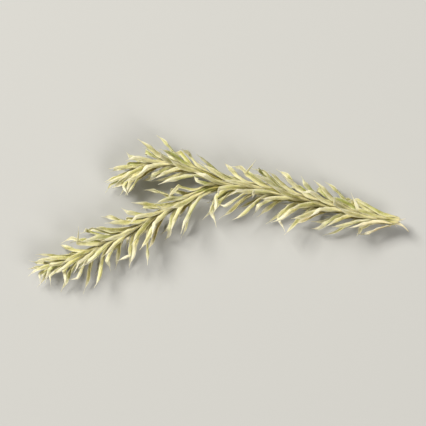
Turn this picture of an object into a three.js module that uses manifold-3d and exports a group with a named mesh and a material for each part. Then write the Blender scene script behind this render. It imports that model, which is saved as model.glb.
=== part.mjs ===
// Dried running clubmoss: one forked sprig, as cut from the plant and dried, lying on a flat surface.
// A leafy stem runs from its slanting cut to a fork, where it parts into a long branch and a short, hooked one.
// Needle leaves stand all round each stem on a spiral. Their bases run down the stem as low ribs, they open
// away from it, bend in again towards the tip, and those underneath lie pressed on the surface.
// Millimetres, +Z up, surface at z = 0, origin under the middle of the sprig. The cut end points along +X.

import * as THREE from "three";
import { mergeVertices } from "three/addons/utils/BufferGeometryUtils.js";
import Module from "manifold-3d";

// Stems: the line that each one follows, as the four points of a cubic Bezier curve, its radius at both ends,
// and the share of their opening that its leaves keep on the side towards +Y, where they were pressed in.
// seed sets the small differences between its leaves.
const FORK = [0.9, 2.97, 2.2];
const STEMS = [
  {
    name: "main_leafy_stem",
    line: [[19.2, -0.93, 1.6], [12.4, 0.17, 1.9], [7.2, 2.37, 2.3], FORK],
    radii: [0.62, 0.56],
    lee: 0.6,
    seed: 12,
  },
  {
    name: "long_leafy_branch",
    line: [FORK, [-3.2, 1.77, 2.1], [-10.4, -3.83, 2.0], [-16.6, -5.43, 1.4]],
    radii: [0.52, 0.3],
    lee: 0.8,
    seed: 12,
  },
  {
    name: "short_leafy_branch",
    line: [FORK, [-2.3, 4.97, 2.4], [-6.3, 6.17, 2.6], [-8.9, 3.57, 1.7]],
    radii: [0.5, 0.3],
    lee: 0.62,
    seed: 12,
  },
];
const STEM_SIDES = 8;
const STEM_STEP = 1.3;
const BUD = { length: 0.5, radius: 0.1 };

// The fork belongs to the main stem, with a stub of each branch rooted in it. A branch starts a gap further on.
const STUB = { length: 1.3, root: 0.4 };
const GAP = 0.3;

// The cut: how far along the main stem it lies, and how far its face leans, and to which side. A block of this
// size is taken off.
const CUT = {
  distance: 0.7,
  lean: THREE.MathUtils.degToRad(38),
  side: THREE.MathUtils.degToRad(-50),
  block: 8,
};

// Leaves. Along a stem the next leaf comes after a step and a turn. The rib is its base on the stem. Its opening
// follows half a wave along the leaf that it enters part of the way in, and a leaf above or below the stem
// opens less than one at its sides.
const LEAF = {
  length: 4.3,
  halfWidth: 0.27,
  height: 0.4,
  step: 0.235,
  turn: THREE.MathUtils.degToRad(137.508),
  rib: 1.4,
  leastRib: 0.3,
  opening: THREE.MathUtils.degToRad(56),
  openingStart: 0.24,
  openingAbove: 0.72,
  baseDepth: 0.15,
  ribDepth: 0.65,
  pieces: 16,
};

// How far along its stem each stem's first leaf stands.
const FIRST_LEAF = [1.1, 0.4, 0.4];

// How one leaf differs from the next: ranges that each value is drawn from.
const VARIES = {
  turn: [-0.2, 0.2],
  opening: [0.8, 1.15],
  length: [0.8, 1.1],
  curl: [-0.45, 0.45],
  bend: [0.32, 0.7],
};

// Over the last stretch of a branch its leaves close up, shorten and crowd, down to these shares at its tip.
const TIP = { reach: 5, opening: 0.3, length: 0.6, step: 0.7 };

// The rings of a leaf's solid beyond its rib: their place along the leaf and their share of its full section.
const LEAF_RINGS = [
  { along: 0, share: 1 },
  { along: 0.3125, share: 1 },
  { along: 0.625, share: 0.74 },
  { along: 1, share: 0.14 },
];
const RIB_SHARE = 0.5;

// The room that a leaf takes, as a radius at its base and at its tip, and the room between neighbouring nodes.
// Leaves of one stem may touch over their first points.
const ROOM = { base: 0.29, tip: 0.06, apart: 0.14, sharedPoints: 2, every: 2, stemStep: 0.35 };

// What a leaf tries, in this order, until it is clear of the others: a turn round its stem, and shares of its
// opening and of its length. A leaf that finds no room has been shed.
const TRIES = [
  { turn: 0, opening: 1, length: 1 },
  { turn: 0, opening: 0.75, length: 1 },
  { turn: 0.25, opening: 0.9, length: 1 },
  { turn: -0.25, opening: 0.9, length: 1 },
  { turn: 0, opening: 1.25, length: 0.9 },
  { turn: 0.45, opening: 0.75, length: 0.9 },
  { turn: -0.45, opening: 0.75, length: 0.9 },
  { turn: 0, opening: 0.5, length: 0.8 },
  { turn: 0.4, opening: 1.1, length: 0.7 },
  { turn: -0.4, opening: 1.1, length: 0.7 },
];

// Edges shorter than this are taken out of the finished solids, and points closer than this are one.
const SLIVER = 0.01;
const WELD = 0.001;

const UP = new THREE.Vector3(0, 0, 1);
const STRAW = { color: 0xcfc489, roughness: 0.8, metalness: 0 };

const wasm = await Module();
wasm.setup();

function between([low, high], share) {
  return low + (high - low) * share;
}

function solidOf(geometry) {
  geometry.deleteAttribute("normal");
  geometry.deleteAttribute("uv");
  const merged = mergeVertices(geometry, WELD);
  return new wasm.Manifold(
    new wasm.Mesh({
      numProp: 3,
      vertProperties: merged.attributes.position.array,
      triVerts: new Uint32Array(merged.index.array),
    }),
  );
}

function geometryOf(solid) {
  const mesh = solid.getMesh();
  const geometry = new THREE.BufferGeometry();
  geometry.setAttribute("position", new THREE.BufferAttribute(mesh.vertProperties, 3));
  geometry.setIndex(new THREE.BufferAttribute(mesh.triVerts, 1));
  return geometry;
}

// A closed solid through rings that all have the same number of points.
function loft(rings) {
  const sides = rings[0].length;
  const last = (rings.length - 1) * sides;
  const index = [];
  for (let i = 1; i < sides - 1; i++) {
    index.push(0, i + 1, i);
    index.push(last, last + i, last + i + 1);
  }
  for (let start = 0; start < last; start += sides) {
    for (let i = 0; i < sides; i++) {
      const a = start + i;
      const b = start + ((i + 1) % sides);
      index.push(a, b, b + sides, a, b + sides, a + sides);
    }
  }
  const geometry = new THREE.BufferGeometry();
  const position = rings.flat().flatMap((p) => p.toArray());
  geometry.setAttribute("position", new THREE.Float32BufferAttribute(position, 3));
  geometry.setIndex(index);
  return solidOf(geometry);
}

// The outer skin of a solid, with its slivers taken out and any pocket sealed inside it filled.
function skin(solid) {
  const bodies = solidOf(geometryOf(solid.simplify(SLIVER))).decompose();
  return bodies.reduce((a, b) => (a.volume() > b.volume() ? a : b));
}

// The direction away from a stem's line at an angle round it: 0 at its side, a quarter turn at its upper side.
function outward({ side, up }, angle) {
  return side.clone().multiplyScalar(Math.cos(angle)).addScaledVector(up, Math.sin(angle));
}

// A stem along its middle line. Distances are measured along the line from its start.
class Stem {
  constructor({ name, line, radii, lee, seed }, isBranch) {
    Object.assign(this, { name, radii, lee, seed, isBranch });
    this.curve = new THREE.CubicBezierCurve3(...line.map((p) => new THREE.Vector3(...p)));
    this.length = this.curve.getLength();
  }

  at(distance) {
    const share = THREE.MathUtils.clamp(distance / this.length, 0, 1);
    const along = this.curve.getTangentAt(share);
    const side = UP.clone().cross(along).normalize();
    return { point: this.curve.getPointAt(share), along, side, up: along.clone().cross(side) };
  }

  radius(distance) {
    return between(this.radii, distance / this.length);
  }

  // A number from 0 to 1 that depends only on the stem's seed, the leaf and what it is for.
  draw(leaf, use) {
    const wave = Math.sin(this.seed + leaf * 12.9898 + use * 78.233) * 43758.5453;
    return wave - Math.floor(wave);
  }

  ring(distance, radius, forward = 0) {
    const frame = this.at(distance);
    return Array.from({ length: STEM_SIDES }, (_, i) =>
      frame.point.clone()
        .addScaledVector(outward(frame, (2 * Math.PI * i) / STEM_SIDES), radius)
        .addScaledVector(frame.along, forward),
    );
  }

  // The stem's solid over a stretch of its line. A branch's first stretch has a root in the main stem, and its
  // last one closes to a bud.
  solid(start, end) {
    const count = Math.ceil((end - start) / STEM_STEP);
    const rings = Array.from({ length: count + 1 }, (_, k) => {
      const distance = between([start, end], k / count);
      return this.ring(distance, this.radius(distance));
    });
    if (this.isBranch && start === 0) rings.unshift(this.ring(0, this.radius(0), -STUB.root));
    if (this.isBranch && end === this.length) rings.push(this.ring(end, BUD.radius, BUD.length));
    return loft(rings);
  }

  room(start, end) {
    const count = Math.ceil((end - start) / ROOM.stemStep);
    return Array.from({ length: count + 1 }, (_, k) => {
      const distance = between([start, end], k / count);
      return { point: this.at(distance).point, radius: this.radius(distance) };
    });
  }

  // Every leaf in its order on the spiral. full falls from 1 to 0 over the last stretch of a branch.
  leaves(first) {
    const leaves = [];
    let distance = first;
    for (let leaf = 0; distance < this.length; leaf++) {
      const full = this.isBranch ? Math.min(1, (this.length - distance) / TIP.reach) : 1;
      const room = this.isBranch && distance > STUB.length ? distance - STUB.length - GAP : LEAF.rib;
      leaves.push(new Leaf(this, { leaf, distance, full, rib: Math.min(LEAF.rib, room) }));
      distance += LEAF.step * between([TIP.step, 1], full);
    }
    return leaves;
  }
}

class Leaf {
  constructor(stem, { leaf, distance, full, rib }) {
    Object.assign(this, { stem, distance, rib });
    this.turn = leaf * LEAF.turn + between(VARIES.turn, stem.draw(leaf, 1));
    this.opening = LEAF.opening * between([TIP.opening, 1], full) * between(VARIES.opening, stem.draw(leaf, 2));
    this.length = LEAF.length * between([TIP.length, 1], full) * between(VARIES.length, stem.draw(leaf, 3));
    this.curl = between(VARIES.curl, stem.draw(leaf, 4));
    this.bend = between(VARIES.bend, stem.draw(leaf, 5));
  }

  // The leaf's line: it leaves the stem low, opens, and bends in again. No point lies below the surface.
  grow(attempt) {
    const frame = this.stem.at(this.distance);
    const radius = this.stem.radius(this.distance);
    const angle = this.turn + attempt.turn;
    const out = outward(frame, angle);
    this.round = frame.along.clone().cross(out);
    const opening = this.opening * attempt.opening *
      between([1, this.stem.lee], Math.max(0, out.y)) *
      between([1, LEAF.openingAbove], Math.abs(Math.sin(angle)));
    const piece = (this.length * attempt.length) / LEAF.pieces;
    this.points = [frame.point.clone().addScaledVector(out, radius * (1 - LEAF.baseDepth))];
    for (let k = 0; k < LEAF.pieces; k++) {
      const share = (k + 0.5) / LEAF.pieces;
      const open = opening * Math.sin(Math.PI * (LEAF.openingStart + share * this.bend));
      const way = frame.along.clone().multiplyScalar(Math.cos(open))
        .addScaledVector(out, Math.sin(open))
        .addScaledVector(this.round, this.curl * share)
        .normalize();
      this.points.push(this.points[k].clone().addScaledVector(way, piece));
    }
    this.points.forEach((p) => (p.z = Math.max(p.z, 0)));
    this.root = frame.point.clone()
      .addScaledVector(out, radius * (1 - LEAF.ribDepth))
      .addScaledVector(frame.along, -this.rib);
    this.room = this.points.filter((_, k) => k % ROOM.every === 0).map((point, k, kept) => ({
      point,
      radius: between([ROOM.base, ROOM.tip], k / (kept.length - 1)),
    }));
  }

  get openRoom() {
    return this.room.slice(ROOM.sharedPoints);
  }

  // Three-sided, with its flat side out and its ridge towards the tip of the stem. Where it would reach below
  // the surface it lies flat on it.
  solid() {
    const centres = [this.root, ...LEAF_RINGS.map(({ along }) => this.points[Math.round(along * LEAF.pieces)])];
    const shares = [RIB_SHARE, ...LEAF_RINGS.map(({ share }) => share)];
    return loft(centres.map((centre, k) => {
      const before = centres[Math.max(0, k - 1)];
      const way = centres[Math.min(centres.length - 1, k + 1)].clone().sub(before).normalize();
      const across = this.round.clone().addScaledVector(way, -this.round.dot(way)).normalize();
      const ring = section(centre, across, way.clone().cross(across), shares[k]);
      if (ring.every((p) => p.z >= 0)) return ring;
      const flat = way.clone().cross(UP).normalize();
      if (flat.dot(across) < 0) flat.negate();
      return section(centre.clone().setZ(0), flat, UP, shares[k]);
    }));
  }

  // A leaf that starts on a stub belongs to the main stem's node, and one over the gap isn't there.
  get node() {
    if (!this.stem.isBranch || this.distance < STUB.length) return 0;
    return this.rib > LEAF.leastRib ? stems.indexOf(this.stem) : null;
  }
}

function section(centre, across, ridge, share) {
  return [
    centre.clone().addScaledVector(across, -LEAF.halfWidth * share),
    centre.clone().addScaledVector(across, LEAF.halfWidth * share),
    centre.clone().addScaledVector(ridge, LEAF.height * share),
  ];
}

function isClear(room, others, apart) {
  return others.every((other) =>
    room.every((a) => other.every((b) => a.point.distanceTo(b.point) > a.radius + b.radius + apart)),
  );
}

// The slanting cut, as the block that is taken off at the end of the main stem.
function cutBlock(stem) {
  const frame = stem.at(CUT.distance);
  const away = frame.along.clone().multiplyScalar(-Math.cos(CUT.lean))
    .addScaledVector(outward(frame, CUT.side), Math.sin(CUT.lean));
  const block = new THREE.BoxGeometry(CUT.block, CUT.block, CUT.block);
  block.applyQuaternion(new THREE.Quaternion().setFromUnitVectors(UP, away));
  const middle = frame.point.clone().addScaledVector(away, CUT.block / 2);
  block.translate(...middle.toArray());
  return solidOf(block);
}

const stems = STEMS.map((stem, k) => new Stem(stem, k > 0));
const [main, ...branches] = stems;

// Each node: its solids, the room that its stems and leaves take, and the room of its leaves' open parts.
const nodes = [
  {
    solids: [main.solid(0, main.length), ...branches.map((branch) => branch.solid(0, STUB.length))],
    rooms: [main.room(0, main.length), ...branches.map((branch) => branch.room(0, STUB.length))],
    openRooms: [],
  },
  ...branches.map((branch) => ({
    solids: [branch.solid(STUB.length + GAP, branch.length)],
    rooms: [branch.room(STUB.length + GAP, branch.length)],
    openRooms: [],
  })),
];

stems.forEach((stem, k) => {
  for (const leaf of stem.leaves(FIRST_LEAF[k])) {
    const home = nodes[leaf.node];
    if (!home) continue;
    const others = nodes.filter((node) => node !== home).flatMap(({ rooms }) => rooms);
    const fits = TRIES.some((attempt) => {
      leaf.grow(attempt);
      return isClear(leaf.room, others, ROOM.apart) && isClear(leaf.openRoom, home.openRooms, 0);
    });
    if (!fits) continue;
    home.solids.push(leaf.solid());
    home.rooms.push(leaf.room);
    home.openRooms.push(leaf.openRoom);
  }
});

const group = new THREE.Group();
nodes.forEach(({ solids }, k) => {
  const whole = wasm.Manifold.union(solids);
  const cut = k === 0 ? whole.subtract(cutBlock(main)) : whole;
  const mesh = new THREE.Mesh(geometryOf(skin(cut)), new THREE.MeshStandardMaterial(STRAW));
  mesh.name = stems[k].name;
  group.add(mesh);
});

export default group;
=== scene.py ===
"""Dried running clubmoss: the looks of one forked sprig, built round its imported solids.

Lengths are in millimetres, in the sprig's own frame, as in its solids, and become metres when a mesh
is made. Angles are in radians.
"""

import logging
import math
from collections.abc import Sequence
from dataclasses import dataclass, field
from enum import Enum

import bpy
import numpy as np
from mathutils.bvhtree import BVHTree
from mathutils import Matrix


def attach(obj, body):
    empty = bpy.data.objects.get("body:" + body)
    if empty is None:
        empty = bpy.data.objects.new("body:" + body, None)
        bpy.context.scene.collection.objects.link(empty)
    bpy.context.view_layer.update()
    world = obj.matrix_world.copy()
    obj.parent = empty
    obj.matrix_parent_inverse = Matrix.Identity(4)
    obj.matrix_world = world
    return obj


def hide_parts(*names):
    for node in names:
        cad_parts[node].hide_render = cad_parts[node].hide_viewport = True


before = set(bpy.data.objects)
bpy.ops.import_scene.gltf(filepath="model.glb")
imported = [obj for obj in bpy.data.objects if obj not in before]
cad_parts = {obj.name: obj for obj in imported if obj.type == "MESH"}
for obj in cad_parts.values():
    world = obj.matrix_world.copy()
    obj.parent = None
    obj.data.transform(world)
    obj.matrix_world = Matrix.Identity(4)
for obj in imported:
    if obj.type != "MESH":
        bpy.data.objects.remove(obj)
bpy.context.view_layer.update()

METRES = 0.001
TAU = 2.0 * math.pi
UP = np.array([0.0, 0.0, 1.0])
BODY = "root"
DRAW_FACTORS = (12.9898, 78.233, 43758.5453)

Array = np.ndarray
Colour = tuple[float, float, float, float]
Place = tuple[float, float, float]
Range = tuple[float, float]
Knot = tuple[Array, float]
Socket = bpy.types.NodeSocket

log = logging.getLogger("clubmoss")


class Node(Enum):
    """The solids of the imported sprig."""

    MAIN = "main_leafy_stem"
    LONG = "long_leafy_branch"
    SHORT = "short_leafy_branch"


class Habit(Enum):
    """What drying did to the outer part of a leaf."""

    BOWED = "bowed"
    HOOKED = "hooked"
    BENT_ASIDE = "bent aside"


class Trait(Enum):
    """What a drawn number settles. The first five are drawn in the solids too."""

    TURN = 1
    OPENING = 2
    LENGTH = 3
    CURL = 4
    BEND = 5
    HABIT = 6
    KNEE = 7
    SWING = 8
    NEAR_SIDE = 9
    HAIR_LENGTH = 10
    HAIR_ASIDE = 11
    HAIR_OUT = 12
    LIE = 13
    LIE_OFF = 14
    FOLD = 15
    WAVES = 16
    WAVE_START = 17
    TONE = 18
    RIPPLE_START = 19
    WIDTH = 20
    FLUTTER_START = 21
    BLEACH = 22
    WRINKLE_WANDER = 23
    WRINKLE_START = 24
    STRAND_PLACE = 31
    STRAND_DEPTH = 32
    STRAND_LENGTH = 33
    STRAND_ASIDE = 34
    STRAND_UP = 35


def between(low: float, high: float, share: float | Array) -> float | Array:
    """Returns the value that lies that share of the way from low to high."""
    return low + (high - low) * share


def eased(value: float | Array, start: float, end: float) -> float | Array:
    """Returns 0 at start and before it, 1 at end and beyond it, and a smooth rise between them."""
    share = np.clip((value - start) / (end - start), 0.0, 1.0)
    return share * share * (3.0 - 2.0 * share)


def unit(vectors: Array) -> Array:
    """Returns the vectors, one or a row of them, at length 1."""
    return vectors / np.linalg.norm(vectors, axis=-1, keepdims=True)


def dot(a: Array, b: Array) -> Array:
    """Returns the dot products of two rows of vectors, kept as a column."""
    return np.sum(a * b, axis=-1, keepdims=True)


def turned(vectors: Array, axes: Array, angles: Array | float) -> Array:
    """Returns the vectors turned about axes of length 1, by angles in radians."""
    cos, sin = np.cos(angles), np.sin(angles)
    return vectors * cos + np.cross(axes, vectors) * sin + axes * dot(axes, vectors) * (1.0 - cos)


def around(side: Array, up: Array, angle: float | Array) -> Array:
    """Returns the direction at an angle from side towards up."""
    return side * np.cos(angle) + up * np.sin(angle)


def travelled(line: Array) -> Array:
    """Returns how far along a line each of its points lies."""
    return np.concatenate([[0.0], np.cumsum(np.linalg.norm(np.diff(line, axis=0), axis=1))])


def spaced(line: Array, distances: Array) -> Array:
    """Returns the points at some distances along a line."""
    run = travelled(line)
    return np.column_stack([np.interp(distances, run, line[:, axis]) for axis in range(3)])


def carried(start: Array, ways: Array) -> Array:
    """Carries a side direction along a line without letting it spin.

    Args:
        start: The direction at the line's start.
        ways: The line's own direction at each point.

    Returns:
        The side direction at each point, at right angles to the line.
    """
    sides, side = [], start
    for way in ways:
        side = unit(side - way * np.dot(side, way))
        sides.append(side)
    return np.array(sides)


def flowing(points: Array, per_stretch: int = 6) -> Array:
    """Draws a smooth line that follows some points.

    Args:
        points: The points, ends included.
        per_stretch: How many points of the line stand for each stretch.

    Returns:
        The points of a cubic B-spline that starts and ends where they do.
    """
    held = np.vstack([points[:1], points[:1], points, points[-1:], points[-1:]])
    t = np.linspace(0.0, 1.0, per_stretch, endpoint=False)[:, None]
    weights = ((1 - t) ** 3, 3 * t**3 - 6 * t**2 + 4, -3 * t**3 + 3 * t**2 + 3 * t + 1, t**3)
    stretches = []
    for k in range(len(held) - 3):
        stretches.append(sum(weight * held[k + j] for j, weight in enumerate(weights)) / 6.0)
    return np.vstack([*stretches, points[-1:]])


def wrapped(many: int, sides: int) -> Array:
    """Lists the faces of a tube, whose points are numbered ring by ring.

    Args:
        many: How many rings it has.
        sides: How many points a ring has.

    Returns:
        The numbers of each face's four corners.
    """
    ring = np.arange(sides)
    ahead = np.roll(ring, -1)
    first = np.arange(many - 1)[:, None] * sides
    corners = [first + ring, first + ahead, first + sides + ahead, first + sides + ring]
    return np.stack(corners, axis=-1).reshape(-1, 4)


def srgb(code: str) -> Colour:
    """Turns a colour such as D9CD92 into the linear numbers that a shader takes.

    Args:
        code: Six hexadecimal digits.

    Returns:
        Its red, green and blue, and 1 for opaque.
    """
    parts = [int(code[k : k + 2], 16) / 255.0 for k in (0, 2, 4)]
    red, green, blue = (p / 12.92 if p <= 0.04045 else ((p + 0.055) / 1.055) ** 2.4 for p in parts)
    return (red, green, blue, 1.0)


@dataclass
class Skin:
    """Surfaces gathered into one mesh, with the values that its finish reads at each point."""

    name: str
    points: list[Array] = field(default_factory=list)
    faces: list[tuple[int, ...]] = field(default_factory=list)
    values: dict[str, list[Array]] = field(default_factory=dict)
    count: int = 0

    def add_tube(self, rings: Array, values: dict[str, Array], open_start: bool = False) -> None:
        """Adds a tube through rings of points.

        Args:
            rings: Points as (ring, side, axis), each ring anticlockwise seen from ahead.
            values: For each thing that the finish reads, a number for every point as (ring, side).
            open_start: Leaves the first ring open.
        """
        many, sides = rings.shape[:2]
        ring = np.arange(sides)
        self.faces.extend(map(tuple, (self.count + wrapped(many, sides)).tolist()))
        if not open_start:
            self.faces.append(tuple((self.count + ring[::-1]).tolist()))
        self.faces.append(tuple((self.count + (many - 1) * sides + ring).tolist()))
        self.points.append(rings.reshape(-1, 3))
        for key, numbers in values.items():
            self.values.setdefault(key, []).append(np.broadcast_to(numbers, (many, sides)).ravel())
        self.count += many * sides

    def piece(self, finish: bpy.types.Material, nodes: Sequence[Node]) -> bpy.types.Object:
        """Makes the mesh, dresses it and ties it to the frame.

        Args:
            finish: Its material.
            nodes: The solids that it stands for.

        Returns:
            The new object.
        """
        mesh = bpy.data.meshes.new(self.name)
        mesh.from_pydata((np.vstack(self.points) * METRES).tolist(), [], self.faces)
        for key, numbers in self.values.items():
            layer = mesh.attributes.new(key, "FLOAT", "POINT")
            layer.data.foreach_set("value", np.concatenate(numbers).astype(np.float32))
        mesh.shade_smooth()
        mesh.materials.append(finish)
        made = bpy.data.objects.new(self.name, mesh)
        bpy.context.scene.collection.objects.link(made)
        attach(made, BODY)
        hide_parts(*(node.value for node in nodes))
        return made


@dataclass(frozen=True)
class Rise:
    """A smooth rise from low to high as a value goes from start to end."""

    start: float
    end: float
    low: float = 0.0
    high: float = 1.0


@dataclass(frozen=True)
class Grain:
    """Soft noise: features to a unit of the pattern, layers, and how strong the finer ones are."""

    scale: float
    detail: float
    roughness: float = 0.55


@dataclass
class Shader:
    """A material whose nodes are laid out by the finishes below."""

    name: str
    material: bpy.types.Material = field(init=False)
    surface: bpy.types.Node = field(init=False)

    def __post_init__(self) -> None:
        """Makes the material with its surface shader."""
        self.material = bpy.data.materials.new(self.name)
        self.material.use_nodes = True
        self.surface = self.material.node_tree.nodes["Principled BSDF"]

    def add(self, kind: str, inputs: dict[str | int, object], **settings: object) -> bpy.types.Node:
        """Adds a node.

        Args:
            kind: Its type, without the ShaderNode at its start.
            inputs: A socket to link or a value to set, for each input by name or number.
            **settings: Its own settings.

        Returns:
            The node.
        """
        node = self.material.node_tree.nodes.new("ShaderNode" + kind)
        for key, value in settings.items():
            setattr(node, key, value)
        for key, value in inputs.items():
            if isinstance(value, Socket):
                self.material.node_tree.links.new(value, node.inputs[key])
            else:
                node.inputs[key].default_value = value
        return node

    def value(self, name: str) -> Socket:
        """Returns a value that the mesh carries at its points."""
        return self.add("Attribute", {}, attribute_name=name, attribute_type="GEOMETRY").outputs["Fac"]

    def maths(self, operation: str, a: Socket | float, b: Socket | float = 0.0) -> Socket:
        """Returns the result of an operation, such as MULTIPLY, on two numbers."""
        return self.add("Math", {0: a, 1: b}, operation=operation).outputs[0]

    def rise(self, value: Socket, rise: Rise) -> Socket:
        """Returns what a rise makes of a value."""
        inputs = {"Value": value, 1: rise.start, 2: rise.end, 3: rise.low, 4: rise.high}
        return self.add("MapRange", inputs, interpolation_type="SMOOTHSTEP").outputs[0]

    def place(self, values: Sequence[Socket], stretch: Sequence[float]) -> Socket:
        """Returns up to three values, each stretched by its own factor, as one place in a pattern."""
        sockets = {k: self.maths("MULTIPLY", *pair) for k, pair in enumerate(zip(values, stretch))}
        return self.add("CombineXYZ", sockets).outputs[0]

    def noise(self, place: Socket, grain: Grain) -> Socket:
        """Returns soft noise from 0 to 1 at a place in a pattern."""
        inputs = {"Vector": place, "Scale": grain.scale, "Detail": grain.detail}
        return self.add("TexNoise", {**inputs, "Roughness": grain.roughness}).outputs["Fac"]

    def mix(self, base: Socket | Colour, code: str, share: Socket, blend: str = "MIX") -> Socket:
        """Returns the base with a share of a colour mixed into it."""
        inputs = {0: share, 6: base, 7: srgb(code)}
        return self.add("Mix", inputs, data_type="RGBA", blend_type=blend).outputs[2]

    def bump(self, height: Socket, depth: float, strength: float) -> None:
        """Adds relief to the surface, of a depth in millimetres."""
        inputs = {"Height": height, "Distance": depth * METRES, "Strength": strength}
        self.link("Normal", self.add("Bump", inputs).outputs[0])

    def link(self, name: str, socket: Socket) -> None:
        """Links a socket to an input of the surface shader."""
        self.material.node_tree.links.new(socket, self.surface.inputs[name])

    def set(self, **inputs: object) -> None:
        """Sets inputs of the surface shader, named with _ for a space."""
        for key, value in inputs.items():
            self.surface.inputs[key.replace("_", " ")].default_value = value


@dataclass(frozen=True)
class LeafFinish:
    """Dried leaf: straw, greener or rosier from leaf to leaf, with pale margins, foot and tip, and with
    painted shade along its fold and in the creases beside its foot.

    A rise is the share in which a colour is laid on. greener and rosier go by the leaf's tone, paler
    and darker by its paleness, folded, margin and gap_shade_across by the place across it, and
    pale_foot and gap_shade_along by the place along it. folded, gap_shade_across and gap_shade_along
    lay on painted shade. The tone carries painted shade too: on leaves on their stem's far side it is
    raised towards greener. A stretch is how fast a pattern runs along the leaf, across it, and from
    tone to tone.
    """

    straw: str = "DBD692"
    green: str = "AFB767"
    rose: str = "DDC096"
    cream: str = "F6F0CA"
    # olive, for the leaf's darker tones, clouds and streaks, and for the painted shade along its fold
    shade: str = "7B7A30"
    foot: str = "E8DCAB"
    bleached: str = "F1EBCE"
    speck: str = "75592F"
    # olive brown for the creases beside a leaf's foot, where leaves overlap: painted shade
    painted_gap_shade: str = "5F5A22"
    greener: Rise = Rise(0.6, 0.95)
    rosier: Rise = Rise(0.26, 0.04)
    paler: Rise = Rise(0.5, 1.0, high=0.6)
    darker: Rise = Rise(0.4, 0.0, high=0.35)
    clouded: Rise = Rise(0.42, 0.72, high=0.55)
    mottled: Rise = Rise(0.45, 0.75, high=0.45)
    streaked: Rise = Rise(0.45, 0.75, high=0.5)
    # painted shade along the fold, darker towards the leaf's middle line
    folded: Rise = Rise(0.5, 0.12, high=0.3)
    margin: Rise = Rise(0.5, 0.95, high=0.65)
    pale_foot: Rise = Rise(0.24, -0.12, high=0.6)
    # where the painted shade in the creases beside the foot lies: near the margins, and low on the leaf
    gap_shade_across: Rise = Rise(0.4, 0.9)
    gap_shade_along: Rise = Rise(0.2, -0.1, high=0.85)
    bleaching: float = 0.88
    specked: Rise = Rise(0.7, 0.78, high=0.5)
    roughness: Rise = Rise(0.3, 0.75, 0.46, 0.74)
    vein: Rise = Rise(0.22, 0.05, high=0.5)
    long_stretch: Place = (4.0, 0.3, 90.0)
    streak_stretch: Place = (1.2, 1.4, 70.0)
    cloud_grain: Grain = Grain(0.9, 2.0)
    mottle_grain: Grain = Grain(5.0, 4.0, 0.6)
    streak_grain: Grain = Grain(4.5, 3.0, 0.6)
    speck_grain: Grain = Grain(11.0, 1.0)
    wrinkle_grain: Grain = Grain(9.0, 2.0)
    paleness_factor: float = 17.3
    mottle_relief: float = 0.6
    relief: float = 0.035
    relief_strength: float = 0.8

    def material(self) -> bpy.types.Material:
        """Lays out the finish, from the leaf's own colour to its relief.

        Returns:
            The material.
        """
        s = Shader("dried_leaf")
        along, across, tone = s.value("along"), s.value("across"), s.value("tone")
        lengthways = s.place((along, across, tone), self.long_stretch)
        streaky = s.place((along, across, tone), self.streak_stretch)
        edge = s.maths("ABSOLUTE", across)
        mottle = s.noise(lengthways, self.mottle_grain)
        clouds = s.noise(lengthways, self.cloud_grain)
        specks = s.noise(lengthways, self.speck_grain)
        streaks = s.rise(s.noise(streaky, self.streak_grain), self.streaked)
        # painted shade in the creases beside the foot, near the margins and low on the leaf
        gap_shade_share = s.rise(along, self.gap_shade_along)
        gap_shade_share = s.maths("MULTIPLY", s.rise(edge, self.gap_shade_across), gap_shade_share)
        colour = self.ground(s, tone)
        colour = s.mix(colour, self.shade, s.rise(clouds, self.clouded))
        colour = s.mix(colour, self.cream, s.rise(mottle, self.mottled))
        colour = s.mix(colour, self.shade, streaks, "MULTIPLY")
        # painted shade along the fold: darker towards the leaf's middle line
        colour = s.mix(colour, self.shade, s.rise(edge, self.folded))
        colour = s.mix(colour, self.cream, s.rise(edge, self.margin))
        colour = s.mix(colour, self.foot, s.rise(along, self.pale_foot))
        colour = s.mix(colour, self.painted_gap_shade, gap_shade_share)
        colour = s.mix(colour, self.bleached, s.maths("MULTIPLY", s.value("bleach"), self.bleaching))
        colour = s.mix(colour, self.speck, s.rise(specks, self.specked))
        s.link("Base Color", colour)
        s.link("Roughness", s.rise(mottle, self.roughness))
        height = s.maths("ADD", s.rise(edge, self.vein), s.noise(streaky, self.wrinkle_grain))
        height = s.maths("ADD", height, s.maths("MULTIPLY", mottle, self.mottle_relief))
        s.bump(height, self.relief, self.relief_strength)
        s.set(Specular_IOR_Level=0.28, Sheen_Weight=0.03, Sheen_Roughness=0.5)
        s.set(Subsurface_Weight=0.2, Subsurface_Scale=0.0003, Subsurface_Radius=(1.0, 0.8, 0.35))
        return s.material

    def ground(self, s: Shader, tone: Socket) -> Socket:
        """Mixes the leaf's own colour.

        Args:
            s: The shader.
            tone: The leaf's tone, from 0 to 1.

        Returns:
            The colour.
        """
        paleness = s.maths("FRACT", s.maths("MULTIPLY", tone, self.paleness_factor))
        colour = s.mix(srgb(self.straw), self.green, s.rise(tone, self.greener))
        colour = s.mix(colour, self.rose, s.rise(tone, self.rosier))
        colour = s.mix(colour, self.cream, s.rise(paleness, self.paler))
        return s.mix(colour, self.shade, s.rise(paleness, self.darker))


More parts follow.
